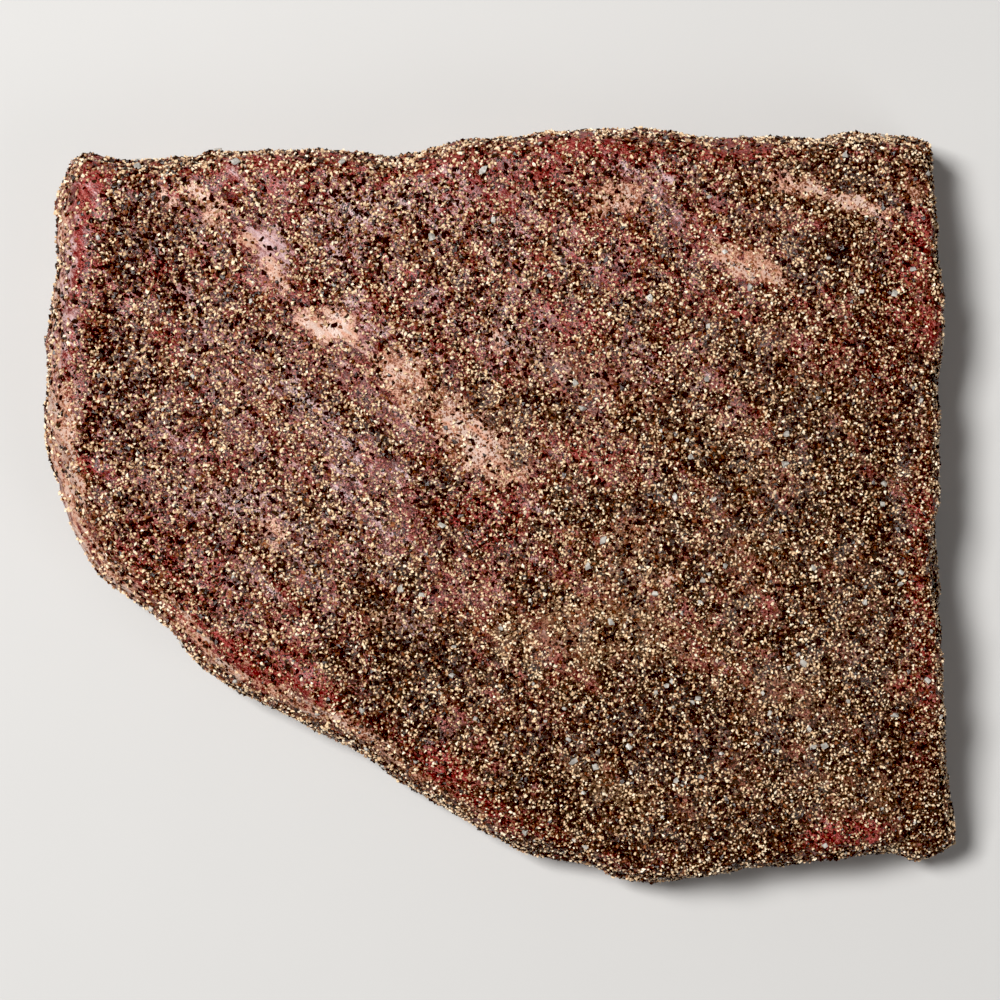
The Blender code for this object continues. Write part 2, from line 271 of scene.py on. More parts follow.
# Zones of darker pepper, or more golden where the strength is below zero. No rub is missing there.
HUSK_ZONES = (
    ("inside the left rim", -110, 53, 37, 7.5, 88, 1),
    ("upper left", -96, 82, 20, 9, 10, 0.7),
    ("left", -100, 24, 15, 8, -30, 0.7),
    ("left of the seam", -66, 40, 16, 5, -45, 0.5),
    ("below the seam", -31, 12, 15, 6, -45, 0.6),
    ("end of the seam", -12, -6, 11, 5, -20, 0.9),
    ("beside the island", 92, 72, 8, 8, 0, 1),
    ("upper middle", 42, 70, 13, 7, -10, 0.5),
    ("right", 82, -12, 20, 13, 30, 0.15),
    ("right, lower", 76, -36, 12, 9, 0, 0.6),
    ("lower end", 48, -68, 26, 11, 0, 0.32),
    ("lower edge", 14, -98, 18, 5, 0, 0.5),
    ("lower middle", -30, -42, 19, 9, -10, 0.45),
    ("above the diagonal edge", -28, -64, 20, 7, -32, 0.7),
    ("left of the island", 34, 59, 10, 6, 0, 0.5),
    ("thin corner", 125.2, -96, 9, 5, -10, 0.9),
    ("right edge", 113, 30, 62, 8, 90, 0.55),
    ("right edge, lower", 116, -52, 28, 9, 90, 0.4),
    ("bottom", 74, -97, 48, 7, -2, 0.6),
    ("diagonal end", 6, -80, 20, 9, -35, 0.6),
    ("golden, middle", 22, -37, 30, 9, -3, -0.45),
    ("golden, right", 84, -50, 12, 8, 0, -0.25),
    ("golden, upper", 12, 20, 18, 10, 0, -0.2),
    ("golden, lower", 36, -21, 8, 14, 0, -0.3),
    ("golden, right of the middle", 74, -14, 9, 9, 0, -0.45),
    ("golden, upper right", 86, 34, 15, 6, 0, -0.25),
    ("golden, right end", 113, -79, 8, 10, 0, -0.5),
    ("golden, under the middle", 42, -8, 11, 6, 0, -0.35),
    ("golden, lower end", 30, -80, 14, 8, -40, -0.5),
    ("golden, right, upper", 74, 6, 8, 6, 0, -0.35),
    ("dense, middle", 48, 6, 7, 5, 0, 0.3),
    ("dense, left fold", -64, 36, 26, 6, -43, 0.5),
    ("dense, left, inner", -46, 14, 12, 8, -45, 0.5),
    ("under the island", 78, 62, 20, 6, -20, 0.3),
    ("golden, under the streak", 88, 80, 14, 4, -20, -0.3),
    ("golden, centre", 28, 37, 24, 6, -20, -0.3),
    ("golden, left rim", -124, 12, 28, 5, 96, -0.4),
    ("golden, right edge", 113, -7, 8, 7, 0, -0.6),
    ("golden, right of the centre", 61, 20, 7, 6, 0, -0.3),
)
ZONE_SETS = {
    "fat": FAT_ZONES, "haze": HAZE_ZONES, "fresh": FRESH_ZONES, "husk": [(*zone, 0) for zone in HUSK_ZONES],
}

# The meat's attributes, which the grains laid on it don't keep unless their finish reads them.
MEAT_READINGS = (
    *ZONE_SETS, "cover", "dry", "breadth", "husk_to", "rust_to", "tan_to", "none", "all", "salty",
)

# How many grains may lie on a square metre before they are thinned to their spacing.
GRAIN_CROWDING = 1.3e6
CRUMB_CROWDING = 0.93e6
SALT_CROWDING = 8.0e5

# Marks in the finishes, as noise scales for each metre. Those of the meat have detail and roughness too.
MEAT_NOISES = {
    "blotch": (110.0, 4.0, 0.6), "mottle": (430.0, 3.0, 0.6), "grit": (1150.0, 3.0, 0.7),
    "fine": (2300.0, 1.0, 0.5),
}
ALONG_GRAIN_SCALE = 75.0
ACROSS_GRAIN_SCALE = 560.0
GRAIN_SKIN_SCALE = 1300.0
GRAIN_PIT_SCALE = 3200.0
SALT_CLOUD_SCALE = 700.0
FLOOR_SCALE = 30.0

# Colours of the finest pepper, and what stains it or paints shade at the edges of its flakes.
BLACK_DUST = (0.008, 0.003, 0.002, 1)
BROWN_SKIN = (0.045, 0.011, 0.006, 1)
GREY_SKIN = (0.045, 0.024, 0.015, 1)
# Painted shade at the edge of each painted flake of dust.
DUST_EDGE_SHADE = (0.02, 0.007, 0.004, 1)
DRY_DUST = (0.036, 0.022, 0.011, 1)
FAT_STAIN = (0.27, 0.085, 0.045, 1)
CRUMB_STAIN = (0.23, 0.075, 0.038, 1)
SOAKED_ORANGE = (0.37, 0.145, 0.065, 1)
PALE_CORE = (0.99, 0.87, 0.67, 1)
FLAKE_TONES = (
    (0.0, BLACK_DUST), (0.46, BROWN_SKIN), (0.60, (0.17, 0.055, 0.024, 1)),
    (0.72, (0.42, 0.215, 0.105, 1)), (0.84, (0.72, 0.51, 0.31, 1)),
)
POWDER_TONES = (
    (0.0, BLACK_DUST), (0.45, BROWN_SKIN), (0.62, (0.16, 0.052, 0.024, 1)),
    (0.76, (0.38, 0.19, 0.090, 1)), (0.88, (0.66, 0.46, 0.28, 1)),
)

# Layers of ground pepper: noise scale, tones, and the share of the ground that they can cover.
DUST_LAYERS = ((1050.0, FLAKE_TONES, 0.78), (1750.0, POWDER_TONES, 0.80))


def colour_setting(name, description, *default):
    return FloatVectorProperty(name=name, description=description, subtype="COLOR", size=3, default=default)


def length_setting(name, description, default):
    return FloatProperty(name=name, description=description, unit="LENGTH", default=default)


class MeatSettings(bpy.types.PropertyGroup):
    """Sizes and colours of the meat."""

    voxel: length_setting("Face size", "Side of one face of the meat", 1.2 * MM)
    lump_height: length_setting("Lumps", "Height of the broad lumps", 1.5 * MM)
    fold_height: length_setting("Folds", "Height of the folds along the grain", 1.6 * MM)
    strand_height: length_setting("Strands", "Height of the meat's strands", 0.8 * MM)
    lean: colour_setting("Lean", "Lean meat", 0.30, 0.072, 0.060)
    lean_dark: colour_setting("Dark lean", "Lean in the hollows", 0.078, 0.008, 0.006)
    dry_lean: colour_setting("Dry lean", "Lean under the driest rub", 0.15, 0.070, 0.036)
    fresh: colour_setting("Fresh lean", "Freshly cut lean", 0.36, 0.064, 0.056)
    fresh_dark: colour_setting("Dark fresh lean", "Fresh lean in the hollows", 0.145, 0.012, 0.012)
    fat: colour_setting("Fat", "Seams of fat", 0.56, 0.345, 0.255)
    pale_fat: colour_setting("Pale fat", "Thick bare fat", 0.56, 0.41, 0.345)
    pink_fat: colour_setting("Pink fat", "Fat over lean", 0.53, 0.225, 0.135)
    haze: colour_setting("Silverskin", "Thin membrane over lean", 0.36, 0.165, 0.15)
    pale_haze: colour_setting("Pale silverskin", "Thicker membrane", 0.58, 0.435, 0.445)
    # A painted highlight: the colour of pale spots where the lean would catch the light.
    painted_glint: colour_setting("Wet lean", "Where the wet lean catches the light", 0.53, 0.225, 0.20)
    # Juice and dark dust under the rub, which under thick rub also stand in for painted shade between the
    # grains.
    juice: colour_setting("Juice", "Wet ground under the rub", 0.055, 0.012, 0.007)
    dark_juice_and_shade: colour_setting("Dark juice", "Wet ground under thick rub", 0.009, 0.006, 0.004)
    gold: colour_setting("Gold", "Fine pepper pressed into the meat", 0.23, 0.125, 0.060)


class RubSettings(bpy.types.PropertyGroup):
    """Sizes and colours of the pepper and salt."""

    seed: IntProperty(name="Seed", description="Seed of every random draw", default=7, min=0)
    spacing: length_setting("Spacing", "Least distance between two grains", 0.50 * MM)
    crumb_spacing: length_setting("Crumb spacing", "Least distance between two crumbs", 0.4 * MM)
    salt_spacing: length_setting("Salt spacing", "Least distance between two crystals", 1.7 * MM)
    grain: length_setting("Grain", "Usual breadth of a grain", 1.25 * MM)
    husk: colour_setting("Husk", "Black outer skin", 0.019, 0.0065, 0.0035)
    cream: colour_setting("Core", "Cream inside of a corn", 0.84, 0.61, 0.375)
    tan: colour_setting("Tan", "Between core and skin", 0.48, 0.295, 0.170)
    rust: colour_setting("Rust", "Grains soaked in juice", 0.17, 0.052, 0.022)
    salt: colour_setting("Salt", "Salt crystals", 0.52, 0.485, 0.435)


class StageSettings(bpy.types.PropertyGroup):
    """The floor, the lights and the camera."""

    floor: colour_setting("Floor", "Colour of the floor", 0.53, 0.52, 0.505)
    lens: FloatProperty(name="Lens", description="Focal length in millimetres", default=120.0, min=20.0)
    key_power: FloatProperty(name="Key", description="Power of the softbox", default=66.0, unit="POWER")
    fill_power: FloatProperty(name="Fill", description="Power of the fill", default=9.0, unit="POWER")
    sky: FloatProperty(name="Sky", description="Strength of the even light", default=0.15, min=0.0)


class Wire:
    """An output of a node, on which arithmetic adds Math nodes."""

    def __init__(self, graph, output):
        self.graph = graph
        self.output = output

    def math(self, operation, first, second, clamp=False):
        settings = {"operation": operation, "use_clamp": clamp}
        return self.graph.node("ShaderNodeMath", settings, {0: first, 1: second})

    def __add__(self, other):
        return self.math("ADD", self, other)

    def __radd__(self, other):
        return self.math("ADD", other, self)

    def __sub__(self, other):
        return self.math("SUBTRACT", self, other)

    def __rsub__(self, other):
        return self.math("SUBTRACT", other, self)

    def __mul__(self, other):
        return self.math("MULTIPLY", self, other)

    def __rmul__(self, other):
        return self.math("MULTIPLY", other, self)

    def above(self, other):
        return self.math("GREATER_THAN", self, other)

    def below(self, other):
        return self.math("LESS_THAN", self, other)

    def clamped(self):
        return self.math("ADD", self, 0.0, clamp=True)


class Graph:
    """Builds a node tree, for a finish or for scattering."""

    def __init__(self, tree):
        self.tree = tree

    @staticmethod
    def find(sockets, key):
        if isinstance(key, int):
            return sockets[key]
        return next(s for s in sockets if key in (s.identifier, s.name))

    def node(self, kind, settings=None, sockets=None, output=0):
        """Adds a node. Its settings come first, then the values or wires of its sockets."""
        made = self.tree.nodes.new(kind)
        for name, value in (settings or {}).items():
            if name == "stops":
                self.set_stops(made.color_ramp, value)
            elif name == "interpolation":
                made.color_ramp.interpolation = value
            else:
                setattr(made, name, value)
        for key, value in (sockets or {}).items():
            target = self.find(made.inputs, key)
            if isinstance(value, Wire):
                self.tree.links.new(value.output, target)
            else:
                target.default_value = value
        return Wire(self, self.find(made.outputs, output)) if len(made.outputs) else made

    @staticmethod
    def set_stops(ramp, stops):
        while len(ramp.elements) > 1:
            ramp.elements.remove(ramp.elements[-1])
        ramp.elements[0].position = stops[0][0]
        ramp.elements[0].color = stops[0][1]
        for position, colour in stops[1:]:
            ramp.elements.new(position).color = colour

    def other_output(self, wire, name):
        return Wire(self, self.find(wire.output.node.outputs, name))

    def place(self):
        return self.node("ShaderNodeTexCoord", output="Object")

    def attribute(self, name):
        return self.node("ShaderNodeAttribute", {"attribute_name": name}, output="Fac")

    def noise(self, place, scale, detail=2.0, roughness=0.5):
        sockets = {"Vector": place, "Scale": scale, "Detail": detail, "Roughness": roughness}
        return self.node("ShaderNodeTexNoise", {}, sockets, "Fac")

    def ease(self, value, low, high, out_low=0.0, out_high=1.0):
        sockets = {"Value": value, "From Min": low, "From Max": high, "To Min": out_low, "To Max": out_high}
        return self.node("ShaderNodeMapRange", {"interpolation_type": "SMOOTHSTEP"}, sockets, "Result")

    def blend(self, factor, first, second, way="MIX"):
        settings = {"data_type": "RGBA", "blend_type": way, "clamp_factor": True}
        sockets = {"Factor_Float": factor, "A_Color": first, "B_Color": second}
        return self.node("ShaderNodeMix", settings, sockets, "Result_Color")


def opaque(colour):
    return (*colour, 1.0)


def new_finish(name):
    """A material and its graph, with the Principled shader in place."""
    material = bpy.data.materials.new(name)
    material.use_nodes = True
    graph = Graph(material.node_tree)
    surface = material.node_tree.nodes["Principled BSDF"]
    return material, graph, surface


def join(graph, wire, node, socket):
    graph.tree.links.new(wire.output, node.inputs[socket])


class MeatMarks:
    """The noises and the mesh's attributes from which the finish of the meat is mixed."""

    def __init__(self, graph):
        self.place = graph.place()
        for name, grain in MEAT_NOISES.items():
            setattr(self, name, graph.noise(self.place, *grain))
        along, across = 1 / ALONG_GRAIN_SCALE, 1 / ACROSS_GRAIN_SCALE
        sockets = {"Vector": self.place, "Rotation": (0, 0, GRAIN_TURN), "Scale": (along, across, across)}
        drawn_out = graph.node("ShaderNodeMapping", {"vector_type": "TEXTURE"}, sockets)
        self.strand = graph.noise(drawn_out, 1.0, 3.0, 0.6)
        for name in ("cover", "dry", *ZONE_SETS):
            setattr(self, name, graph.attribute(name))


def lean_colour(graph, meat, marks, fresh):
    """Lean, dry or freshly cut, with silverskin, painted glints of light and threads of fat."""
    mottle, grit, strand, haze, dry = marks.mottle, marks.grit, marks.strand, marks.haze, marks.dry
    shade = graph.ease(marks.blotch * 0.22 + mottle * 0.28 + grit * 0.5, 0.45, 0.58)
    streak = graph.ease(strand * 0.5 + mottle * 0.2 + grit * 0.3, 0.43, 0.60)
    lean = graph.blend(shade, opaque(meat.lean_dark), opaque(meat.lean))
    lean = graph.blend(dry * 0.55, lean, opaque(meat.dry_lean))
    fresh_lean = graph.blend(streak, opaque(meat.fresh_dark), opaque(meat.fresh))
    lean = graph.blend(fresh * 0.9, lean, fresh_lean)
    film = mottle * 0.45 + strand * 0.35 + grit * 0.2 + haze * 0.22
    skin = graph.ease(strand * 0.5 + mottle * 0.25 + grit * 0.25, 0.42, 0.60)
    skin = graph.blend(skin, opaque(meat.haze), opaque(meat.pale_haze))
    lean = graph.blend(graph.ease(film, 0.58, 0.71) * 0.85, lean, skin)
    # Painted highlights: pale pink spots where the lean would catch the light, fewer where it is dry or under
    # silverskin.
    glinting = graph.ease(grit * 0.65 + marks.fine * 0.35, 0.57, 0.64) * (0.5 - haze * 0.35) * (1 - dry * 0.5)
    lean = graph.blend(glinting, lean, opaque(meat.painted_glint))
    off_middle = strand - 0.5
    thread = graph.ease(off_middle.math("ABSOLUTE", off_middle, 0.0), 0.016, 0.004)
    return graph.blend(thread * (haze * 0.5 + 0.15), lean, opaque(meat.fat))


def fat_colour(graph, meat, marks):
    """Fat, pink where it is thin over the lean and palest where it is thick and bare."""
    strand, mottle = marks.strand, marks.mottle
    firm = graph.ease(mottle * 0.3 + strand * 0.3 + marks.grit * 0.2 + marks.fat * 0.12, 0.40, 0.54)
    fat = graph.blend(firm, opaque(meat.pink_fat), opaque(meat.fat))
    bare = graph.ease(marks.fat + (strand - 0.5) * 1.6 + (mottle - 0.5) * 1.0, 0.70, 1.02)
    return graph.blend(bare * 0.85, fat, opaque(meat.pale_fat))


def juice_and_shade_colour(graph, meat, marks, fatty, colour):
    """The colour with fine light and dark, with the gold under thick rub, and darker where the rub is thick:
    partly juice and dark dust, partly painted shade between the grains.
    """
    cover, dry, husk, haze = marks.cover, marks.dry, marks.husk, marks.haze
    mottle, grit, fine = marks.mottle, marks.grit, marks.fine
    lit = graph.ease(fine, 0.36, 0.64, 0.55, 1.28)
    lit = graph.node("ShaderNodeCombineColor", {}, {0: lit, 1: lit, 2: lit})
    colour = graph.blend(0.75 * (1 - fatty * 0.8) * (1 - haze * 0.7), colour, lit, "MULTIPLY")
    # Where the rub lies thick, and in pits, the ground darkens towards the juice colours: partly juice and
    # dark dust, partly painted shade between the grains.
    dense = graph.ease(cover + husk * 0.12 + dry * 0.12 + (mottle - 0.5) * 0.7, 0.78, 1.16)
    shaded_pits = graph.ease(grit * 0.7 + fine * 0.3, 0.58, 0.46)
    juice = graph.blend(dry, opaque(meat.juice), opaque(meat.dark_juice_and_shade))
    soaked = (dense * (0.50 + shaded_pits * 0.42 + dry * 0.08) + shaded_pits * 0.28 * cover * cover).clamped()
    colour = graph.blend(soaked * (1 - fatty * 0.6), colour, juice)
    gold = graph.ease(mottle * 0.5 + grit * 0.5 - husk * 0.35, 0.50, 0.74)
    return graph.blend(gold * 0.6 * (1 - fatty * 0.9), colour, opaque(meat.gold))


def ground_pepper(graph, marks, fatty, colour):
    """The colour under two layers of ground pepper, and where the upper of them lies."""
    thin = graph.ease(fatty, 0.2, 0.9)
    share = graph.ease(marks.cover + (marks.mottle - 0.5) * 0.5 + (marks.blotch - 0.5) * 0.3, 0.10, 0.95)
    for scale, stops, much in DUST_LAYERS:
        cells = graph.node("ShaderNodeTexVoronoi", {}, {"Vector": marks.place, "Scale": scale}, "Distance")
        own = graph.node("ShaderNodeSeparateColor", {}, {"Color": graph.other_output(cells, "Color")}, "Red")
        dust_ramp = {"interpolation": "CONSTANT", "stops": stops}
        dust = graph.node("ShaderNodeValToRGB", dust_ramp, {"Fac": graph.other_output(own, "Green")}, "Color")
        # Each flake darkens towards its edge with painted shade.
        dust = graph.blend(graph.ease(cells, 0.22, 0.50), dust, DUST_EDGE_SHADE)
        dust = graph.blend(thin * 0.8, dust, FAT_STAIN)
        dust = graph.blend(marks.dry * 0.45, dust, DRY_DUST)
        dusted = own.below(share * much + 0.03 + thin * 0.05) * cells.below(0.47)
        colour = graph.blend(dusted * 0.94, colour, dust)
    return colour, dusted


def raw_meat(meat):
    """Lean, fresh lean, silverskin and fat, stained by the juice, darker with painted shade under thick rub,
    and dusted with pepper.
    """
    material, graph, surface = new_finish("raw_meat")
    marks = MeatMarks(graph)
    mottle, grit, strand = marks.mottle, marks.grit, marks.strand
    fresh = graph.ease(marks.fresh + (strand - 0.5) * 0.9 + (mottle - 0.5) * 0.9, 0.18, 0.62)
    fat_edge = marks.fat + (mottle - 0.5) * 1.5 + (strand - 0.5) * 0.8 + (grit - 0.5) * 0.9
    fatty = graph.ease(fat_edge, 0.34, 0.66)
    colour = graph.blend(fatty, lean_colour(graph, meat, marks, fresh), fat_colour(graph, meat, marks))
    colour = juice_and_shade_colour(graph, meat, marks, fatty, colour)
    colour, dusted = ground_pepper(graph, marks, fatty, colour)
    join(graph, colour, surface, "Base Color")
    join(graph, 0.42 - fresh * 0.1 - fatty * 0.06 + dusted * 0.2 + (grit - 0.5) * 0.3, surface, "Roughness")
    height = strand * 0.6 + mottle * 0.5 + grit * 0.35 + dusted * 0.25
    bump = graph.node("ShaderNodeBump", {}, {"Height": height, "Strength": 0.8, "Distance": 0.55 * MM})
    join(graph, bump, surface, "Normal")
    surface.inputs["Specular IOR Level"].default_value = 0.25
    return material


def pepper_finish(name, light, dark, dull, glint, gloss, sheen):
    """A broken grain: each one has its own tint, a bright core on top and darker sides, partly its own skin
    and partly painted shade.
    """
    material, graph, surface = new_finish(name)
    place = graph.place()
    tint = graph.attribute("tint")
    uneven = graph.noise(place, GRAIN_SKIN_SCALE, 2.0, 0.6)
    # The top of each grain is lightest and its lower sides darker: partly the core and skin of the corn,
    # partly painted shade.
    side = graph.ease(graph.attribute("core") + (uneven - 0.5) * 0.8 + (tint - 0.5) * 0.3, 0.20, 0.72)
    light = graph.blend(graph.ease(tint, 0.55, 1.0) * 0.8, light, glint)
    light = graph.blend(graph.ease(tint, 0.42, 0.0) * 0.7, light, dull)
    colour = graph.blend(side, dark, light)
    join(graph, colour, surface, "Base Color")
    fine = graph.noise(place, GRAIN_PIT_SCALE, 2.0, 0.6)
    join(graph, gloss + (fine - 0.5) * 0.3, surface, "Roughness")
    bump = graph.node("ShaderNodeBump", {}, {"Height": fine, "Strength": 0.5, "Distance": 0.12 * MM})
    join(graph, bump, surface, "Normal")
    surface.inputs["Specular IOR Level"].default_value = sheen
    return material


def crumb_finish(rub):
    """Fine crumbs, each of one colour from the husk to the core."""
    material, graph, surface = new_finish("pepper_crumbs")
    shares = (
        (0.0, opaque(rub.husk)), (0.42, BROWN_SKIN), (0.58, opaque(rub.rust)), (0.71, opaque(rub.tan)),
        (0.84, opaque(rub.cream)),
    )
    ramp = {"interpolation": "CONSTANT", "stops": shares}
    colour = graph.node("ShaderNodeValToRGB", ramp, {"Fac": graph.attribute("tint")}, "Color")
    soaked = graph.ease(graph.attribute("fat"), 0.3, 0.9)
    colour = graph.blend(soaked * 0.75, colour, CRUMB_STAIN)
    join(graph, colour, surface, "Base Color")
    surface.inputs["Roughness"].default_value = 0.55
    surface.inputs["Specular IOR Level"].default_value = 0.15
    return material


def salt_finish(rub):
    """Cloudy crystals with clearer cores."""
    material, graph, surface = new_finish("coarse_salt")
    place = graph.place()
    cloud = graph.noise(place, SALT_CLOUD_SCALE, 3.0, 0.65)
    clear = tuple(0.55 * part for part in rub.salt)
    colour = graph.blend(graph.ease(cloud, 0.35, 0.65), opaque(clear), opaque(rub.salt))
    join(graph, colour, surface, "Base Color")
    join(graph, 0.30 + cloud * 0.3, surface, "Roughness")
    return material


def floor_finish(stage):
    material, graph, surface = new_finish("pale_floor")
    place = graph.place()
    faint = graph.noise(place, FLOOR_SCALE, 2.0)
    floor = opaque(stage.floor)
    colour = graph.blend(faint, floor, opaque(tuple(0.985 * part for part in stage.floor)))
    join(graph, colour, surface, "Base Color")
    surface.inputs["Roughness"].default_value = 0.7
    return material


def closed_spline(points):
    """Points about OUTLINE_STEP apart on the smooth closed line through the given points."""
    points = np.array(points, float)
    runs = []
    for i in range(len(points)):
        before, start, end, after = (points[(i + k) % len(points)] for k in (-1, 0, 1, 2))
        steps = max(2, round(float(np.linalg.norm(end - start)) / OUTLINE_STEP))
        t = np.linspace(0, 1, steps, endpoint=False)[:, None]
        bend = 2 * before - 5 * start + 4 * end - after
        twist = 3 * (start - end) + after - before
        runs.append(start + 0.5 * (t * (end - before) + t**2 * bend + t**3 * twist))
    return np.concatenate(runs)


def nearest_finder(points):
    """A search tree on points in plan."""
    tree = kdtree.KDTree(len(points))
    for i, (x, y) in enumerate(points):
        tree.insert((x, y, 0), i)
    tree.balance()
    return tree


def blended(values):
    """Values along the outline, blended from side to side."""
    reach = round(SHOULDER_BLUR / OUTLINE_STEP)
    window = np.hanning(2 * reach + 1)
    wrapped = np.concatenate([values[-reach:], values, values[:reach]])
    return np.convolve(wrapped, window / window.sum(), "valid")


def outline_readings():
    """The outline's points, and at each the shoulder's width and the rim fat's place, width and strength."""
    corners = [point for _, _, side in SIDES for point in side]
    owners = [(width, *RIM_FAT[name]) for name, width, side in SIDES for _ in side]
    outline = closed_spline(corners)
    finder = nearest_finder(corners)
    nearest = np.array([owners[finder.find((x, y, 0))[1]] for x, y in outline])
    return outline, *(blended(column) for column in nearest.T)


def inward_normals(outline):
    along = np.roll(outline, -1, 0) - np.roll(outline, 1, 0)
    along /= np.linalg.norm(along, axis=1)[:, None]
    return np.stack([along[:, 1], -along[:, 0]], 1)


def oval(x, y, centre_x, centre_y, half_length, half_width, turn):
    """Squared distance from the centre of an oval, in its own half lengths."""
    c, s = math.cos(math.radians(turn)), math.sin(math.radians(turn))
    u = ((x - centre_x) * c + (y - centre_y) * s) / half_length
    v = ((y - centre_y) * c - (x - centre_x) * s) / half_width
    return u**2 + v**2


def thickness_at(x, y):
    """How thick the meat is over each point of its plan."""
    total = np.full(len(x), THICKNESS - SWELL_ALLOWANCE) - FALL_TO_THE_RIGHT * x
    for _, *shape, rise in SWELLS:
        total += rise * np.exp(-oval(x, y, *shape))
    return total


def vertex_array(mesh):
    points = np.empty(len(mesh.vertices) * 3, np.float32)
    mesh.vertices.foreach_get("co", points)
    return points.reshape(-1, 3).astype(float) / MM


def normal_array(mesh):
    normals = np.empty(len(mesh.vertices) * 3, np.float32)
    mesh.vertex_normals.foreach_get("vector", normals)
    return normals.reshape(-1, 3).astype(float)


def set_vertices(mesh, points):
    mesh.vertices.foreach_set("co", (points * MM).astype(np.float32).ravel())
    mesh.update()


def set_attribute(mesh, name, values):
    mesh.attributes.new(name, "FLOAT", "POINT").data.foreach_set("value", values.astype(np.float32))


def evaluated_mesh(obj):
    graph = bpy.context.evaluated_depsgraph_get()
    return bpy.data.meshes.new_from_object(obj.evaluated_get(graph))


def remeshed(obj, voxel):
    """Gives the object an even mesh of square faces, about one voxel each."""
    modifier = obj.modifiers.new("even mesh", "REMESH")
    modifier.mode = "VOXEL"
    modifier.voxel_size = voxel
    mesh = evaluated_mesh(obj)
    obj.modifiers.clear()
    obj.data = mesh


def linked(name, data):
    made = bpy.data.objects.new(name, data)
    bpy.context.scene.collection.objects.link(made)
    return made


def outline_block(outline):
    """A flat block of the outline's shape, made from a filled curve."""
    curve = bpy.data.curves.new("outline", "CURVE")
    curve.dimensions = "2D"
    curve.fill_mode = "BOTH"
    curve.extrude = BLOCK_HEIGHT * MM / 2
    line = curve.splines.new("POLY")
    line.points.add(len(outline) - 1)
    for point, (x, y) in zip(line.points, outline, strict=True):
        point.co = (x * MM, y * MM, 0, 1)
    line.use_cyclic_u = True
    guide = linked("outline", curve)
    bpy.context.view_layer.update()
    mesh = evaluated_mesh(guide)
    bpy.data.objects.remove(guide)
    mesh.transform(Matrix.Translation((0, 0, BLOCK_HEIGHT * MM / 2)))
    return linked("meat", mesh)


def edge_reading(points, outline):
    """For each point, the nearest outline point's index and how far inside the outline it lies."""
    finder = nearest_finder(outline)
    found = [finder.find((x, y, 0))[1:] for x, y, _ in points]
    return np.array([index for index, _ in found]), np.array([distance for _, distance in found])


def shape_slab(mesh, outline, shoulders):
    """Turns the block into the slab: rounded shoulders, sides that tuck in below, and the swells."""
    points = vertex_array(mesh)
    normals = inward_normals(outline)
    nearest, inside = edge_reading(points, outline)
    share = np.clip(points[:, 2] / BLOCK_HEIGHT, 0, 1)
    t = np.clip(inside / shoulders[nearest], 0, 1)
    rise = (1 - (1 - t) ** SHOULDER_ROUNDNESS) ** (1 / SHOULDER_ROUNDNESS)
    top = thickness_at(points[:, 0], points[:, 1]) * (WAIST + (1 - WAIST) * rise)
    height = share * top
    below = np.clip(1 - height / TUCK_HEIGHT, 0, 1)
    tuck = TUCK_DEPTH * (1 - np.sqrt(1 - below**2)) * np.clip(1 - inside / TUCK_REACH, 0, 1)
    points[:, :2] += normals[nearest] * tuck[:, None]
    points[:, 2] = height
    set_vertices(mesh, points)


def plain_noise(points, length):
    return np.array([noise.noise(Vector(point) / length) for point in points])


def noise_array(points, length, stretch=1.0):
    """Smooth noise at each point, with lumps about this long, drawn out along the grain.

    The grain turns steeper towards the left.
    """
    c, s = math.cos(GRAIN_TURN), math.sin(GRAIN_TURN)
    x, y, z = points.T
    bend = GRAIN_BEND * GRAIN_BEND_REACH * np.logaddexp(0, -(x - GRAIN_BEND_AT) / GRAIN_BEND_REACH)
    return plain_noise(np.column_stack(((x * c + y * s) / stretch, y * c - x * s - bend, z)), length)


def raise_relief(mesh, meat, outline):
    """Lumps, folds, strands and the layers that show in the sides."""
    points = vertex_array(mesh)
    normals = normal_array(mesh)
    free = np.clip(points[:, 2] / TUCK_HEIGHT - FLAT_FOOT, 0, 1)
    steep = np.clip(1.4 - 2.2 * np.abs(normals[:, 2]), 0, 1)
    relief = plain_noise(points, LUMP_LENGTH) * meat.lump_height / MM
    folds = noise_array(points, FOLD_LENGTH, FOLD_STRETCH)
    strands = noise_array(points + 90, STRAND_LENGTH, STRAND_STRETCH)
    relief += folds * meat.fold_height / MM + strands * meat.strand_height / MM
    relief += plain_noise(points + 50, FINE_LENGTH) * FINE_HEIGHT
    relief += (1 - steep) * plain_noise(points + 64, DIMPLE_LENGTH) * DIMPLE_HEIGHT
    layers = points * (LAYER_FLATNESS, LAYER_FLATNESS, 1.0) + 30
    relief += steep * plain_noise(layers, LAYER_LENGTH) * LAYER_HEIGHT
    points += normals * (relief * free)[:, None]
    points[:, 2] = np.maximum(points[:, 2], 0)
    set_vertices(mesh, points)
    return folds, strands


def zone_field(x, y, zones):
    """How strongly any of the zones holds at each point, and how bare of rub they leave it."""
    field = np.zeros(len(x))
    bare = np.zeros(len(x))
    for _, *shape, strength, missing in zones:
        reach = np.clip((1.6 - np.sqrt(oval(x, y, *shape))) / 1.2, 0, 1)
        smooth = reach**2 * (3 - 2 * reach)
        field = 1 - (1 - field) * (1 - strength * smooth)
        bare = 1 - (1 - bare) * (1 - missing * smooth)
    return field, bare


def wavered(values, points, first, second):
    """Values shifted by a broad and a fine noise, each drawn a given way off."""
    broad = BROAD_WAVER * plain_noise(points + first, BROAD_WAVE)
    return values + broad + FINE_WAVER * plain_noise(points + second, FINE_WAVE)


def zone_fields(points):
    """Each set of zones as a field over the points, and how bare of rub they leave each point."""
    x = wavered(points[:, 0], points, 11, 23)
    y = wavered(points[:, 1], points, 37, 41)
    fields = {}
    bare = np.zeros(len(points))
    for name, zones in ZONE_SETS.items():
        fields[name], missing = zone_field(x, y, zones)
        bare = 1 - (1 - bare) * (1 - missing)
    return fields, bare


